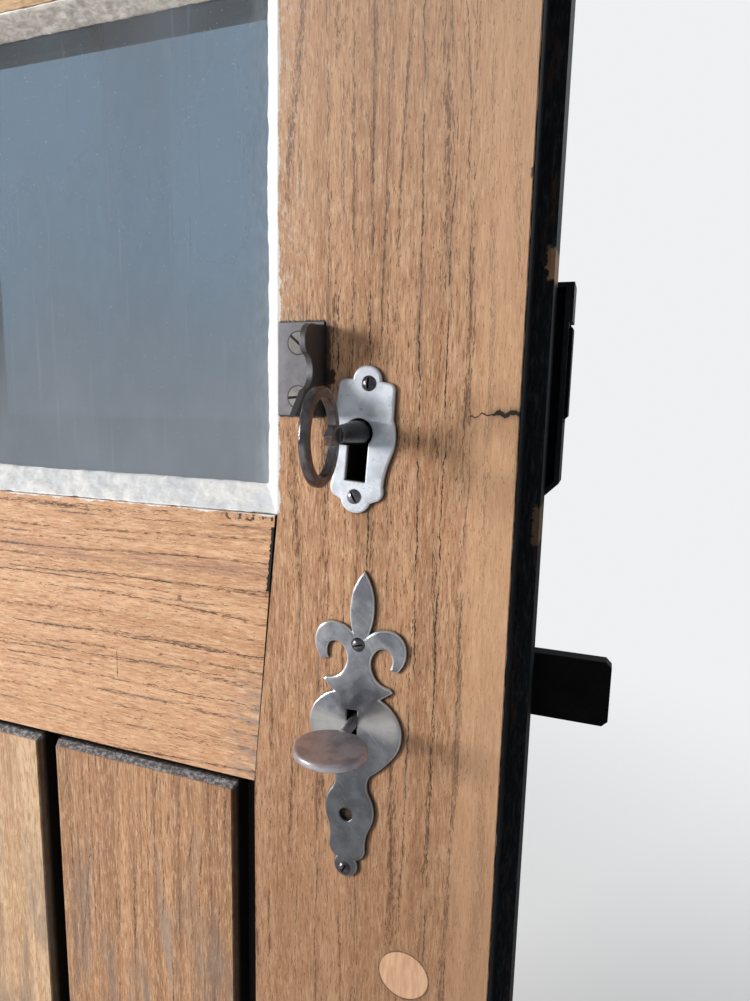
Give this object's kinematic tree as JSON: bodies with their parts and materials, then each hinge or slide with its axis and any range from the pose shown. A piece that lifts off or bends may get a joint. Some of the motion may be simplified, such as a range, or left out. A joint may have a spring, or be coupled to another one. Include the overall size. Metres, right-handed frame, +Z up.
{
  "type": "arched door with its frame",
  "caption": "Round-headed timber door in its rebated frame: boarded below, glazed above, with two rim locks, keys, plates and lift-off hinges.",
  "frame": {"origin": "centre of the threshold's underside, in the middle plane of the opening's width", "axes": "+X to the right seen from outside, +Y inwards through the opening, +Z up"},
  "size_m": [0.826, 0.8947, 2.064],
  "materials": {
    "leaf_timber": "weathered, once varnished, with open drying cracks",
    "board_timber": "weathered, greyed in patches",
    "frame_timber": "weathered",
    "sill_timber": "worn and greyed",
    "plug_timber": "sanded repair",
    "glass": "old sheet glass, dusty",
    "putty": "hardened linseed putty, finger-marked",
    "plate_iron": "dark iron plate with bright worn arrises",
    "lock_iron": "dark painted iron with rust at the edges",
    "bolt_iron": "worn iron",
    "key_iron": "brown key steel with fine scratches",
    "screw_steel": "worn screw heads",
    "hinge_iron": "dark painted iron"
  },
  "bodies": {
    "frame": {"frame_arch_crown": "frame_timber", "frame_arch_left": "frame_timber", "frame_arch_right": "frame_timber", "frame_dowels": "frame_timber", "frame_screws": "screw_steel", "hinge_frame_plate_1": "hinge_iron", "hinge_frame_plate_2": "hinge_iron", "hinge_frame_plate_3": "hinge_iron", "hinge_jamb": "frame_timber", "hinge_pin_1": "hinge_iron", "hinge_pin_2": "hinge_iron", "hinge_pin_3": "hinge_iron", "lock_jamb": "frame_timber", "lower_keeper": "lock_iron", "threshold": "sill_timber", "upper_keeper": "lock_iron"},
    "leaf": {"board_left": "board_timber", "board_middle": "board_timber", "board_right": "board_timber", "bottom_rail": "leaf_timber", "escutcheon_screws": "screw_steel", "flush_plate": "plate_iron", "flush_plate_screws": "screw_steel", "glazing_bar_lower": "leaf_timber", "glazing_bar_upper": "leaf_timber", "glazing_bar_upright": "leaf_timber", "hinge_leaf_plate_1": "hinge_iron", "hinge_leaf_plate_2": "hinge_iron", "hinge_leaf_plate_3": "hinge_iron", "hinge_stile": "leaf_timber", "leaf_arch_crown": "leaf_timber", "leaf_arch_left": "leaf_timber", "leaf_arch_right": "leaf_timber", "leaf_screws": "screw_steel", "lock_rail": "leaf_timber", "lock_stile": "leaf_timber", "lower_bolt_spring": "bolt_iron", "lower_escutcheon": "plate_iron", "lower_lock_case": "lock_iron", "pane_arch_left": "glass", "pane_arch_right": "glass", "pane_lower_left": "glass", "pane_lower_right": "glass", "pane_middle_left": "glass", "pane_middle_right": "glass", "putty_arch_left": "putty", "putty_arch_right": "putty", "putty_lower_left": "putty", "putty_lower_right": "putty", "putty_middle_left": "putty", "putty_middle_right": "putty", "upper_bolt_spring": "bolt_iron", "upper_escutcheon": "plate_iron", "upper_lock_case": "lock_iron", "wood_plug": "plug_timber"},
    "upper_key": {"upper_key": "key_iron"},
    "upper_bolt": {"upper_bolt": "bolt_iron"},
    "lower_key": {"lower_key": "key_iron"},
    "lower_bolt": {"lower_bolt": "bolt_iron"}
  },
  "joints": [
    {"name": "leaf_swing", "type": "hinge", "parent": "frame", "child": "leaf", "pos_m": [-0.3715, 0.0545, 0.875], "axis": [0, 0, 1], "range_deg": [-90, 25]},
    {"name": "upper_key_turn", "type": "hinge", "parent": "leaf", "child": "upper_key", "pos_m": [-0.32, 0.71, 1.152], "axis": [-1, 0, 0], "range_deg": [0, 270]},
    {"name": "upper_bolt_slide", "type": "slide", "parent": "leaf", "child": "upper_bolt", "axis": [0, 1, 0], "range_m": [0, 0.03]},
    {"name": "lower_key_turn", "type": "hinge", "parent": "leaf", "child": "lower_key", "pos_m": [-0.32, 0.709, 1], "axis": [-1, 0, 0], "range_deg": [-270, 0]},
    {"name": "lower_bolt_slide", "type": "slide", "parent": "leaf", "child": "lower_bolt", "axis": [0, 1, 0], "range_m": [-0.04, 0]}
  ],
  "couplings": [
    {"joint": "upper_key_turn", "follows": "upper_bolt_slide", "rad_per_m": 157.07},
    {"joint": "lower_key_turn", "follows": "lower_bolt_slide", "rad_per_m": 117.8}
  ]
}
